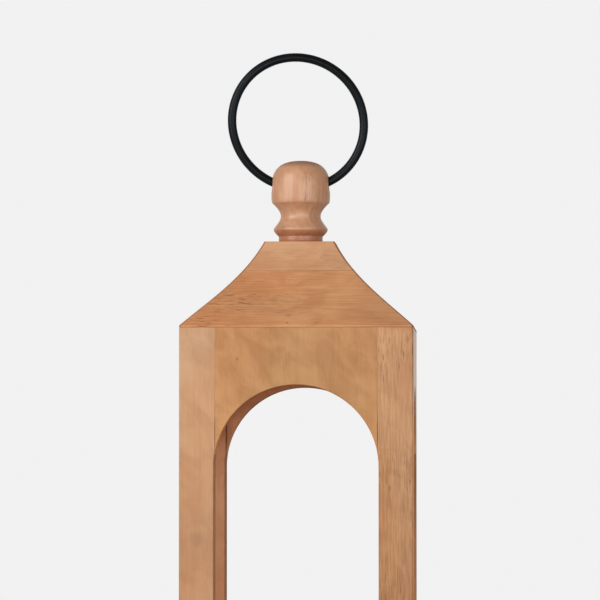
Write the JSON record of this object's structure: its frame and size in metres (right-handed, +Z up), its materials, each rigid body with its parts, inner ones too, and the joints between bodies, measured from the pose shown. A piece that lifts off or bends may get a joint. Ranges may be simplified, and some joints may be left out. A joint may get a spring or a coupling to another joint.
{
  "type": "hanging lantern",
  "caption": "Open square wooden lantern with arched openings, a concave roof, a turned finial and a steel ring that swings, for a pillar candle.",
  "frame": {"origin": "on the floor, under the middle of the base, at the foot pads' undersides", "axes": "+Z up, -Y the front of the picture, +X to its right; the ring's hole runs along X"},
  "size_m": [0.21, 0.21, 0.6453],
  "materials": {
    "post_wood": "oiled, upright straight grain, soft satin",
    "panel_wood": "oiled, upright mottled grain, soft satin",
    "roof_wood": "oiled, level grain with dark flecks, soft satin",
    "finial_wood": "turned and oiled, upright grain, soft satin",
    "base_wood": "oiled, grain along each board, soft satin",
    "dowel_wood": "bare beech, fluted",
    "black_steel": "satin black powder coat",
    "zinc_steel": "zinc plated",
    "felt": "dense dark felt"
  },
  "bodies": {
    "lantern": {"arch_panel_back": "panel_wood", "arch_panel_front": "panel_wood", "arch_panel_left": "panel_wood", "arch_panel_right": "panel_wood", "base_board": "base_wood", "base_screw_back_left": "zinc_steel", "base_screw_back_right": "zinc_steel", "base_screw_front_left": "zinc_steel", "base_screw_front_right": "zinc_steel", "bottom_rail_back": "base_wood", "bottom_rail_front": "base_wood", "bottom_rail_left": "base_wood", "bottom_rail_right": "base_wood", "finial": "finial_wood", "finial_nut": "zinc_steel", "finial_rod": "zinc_steel", "finial_washer": "zinc_steel", "foot_pad_back_left": "felt", "foot_pad_back_right": "felt", "foot_pad_front_left": "felt", "foot_pad_front_right": "felt", "panel_dowel_back_1a": "dowel_wood", "panel_dowel_back_1b": "dowel_wood", "panel_dowel_back_2a": "dowel_wood", "panel_dowel_back_2b": "dowel_wood", "panel_dowel_front_1a": "dowel_wood", "panel_dowel_front_1b": "dowel_wood", "panel_dowel_front_2a": "dowel_wood", "panel_dowel_front_2b": "dowel_wood", "panel_dowel_left_1a": "dowel_wood", "panel_dowel_left_1b": "dowel_wood", "panel_dowel_left_2a": "dowel_wood", "panel_dowel_left_2b": "dowel_wood", "panel_dowel_right_1a": "dowel_wood", "panel_dowel_right_1b": "dowel_wood", "panel_dowel_right_2a": "dowel_wood", "panel_dowel_right_2b": "dowel_wood", "post_back_left": "post_wood", "post_back_right": "post_wood", "post_front_left": "post_wood", "post_front_right": "post_wood", "rail_dowel_back_3a": "dowel_wood", "rail_dowel_back_3b": "dowel_wood", "rail_dowel_front_3a": "dowel_wood", "rail_dowel_front_3b": "dowel_wood", "rail_dowel_left_3a": "dowel_wood", "rail_dowel_left_3b": "dowel_wood", "rail_dowel_right_3a": "dowel_wood", "rail_dowel_right_3b": "dowel_wood", "roof_dowel_back_left": "dowel_wood", "roof_dowel_back_right": "dowel_wood", "roof_dowel_front_left": "dowel_wood", "roof_dowel_front_right": "dowel_wood", "roof_lower_block": "roof_wood", "roof_upper_block": "roof_wood"},
    "ring": {"ring_handle": "black_steel"}
  },
  "joints": [
    {"name": "ring_swing", "type": "hinge", "parent": "lantern", "child": "ring", "pos_m": [0, 0, 0.5241], "axis": [1, 0, 0], "range_deg": [-143, 143]}
  ]
}
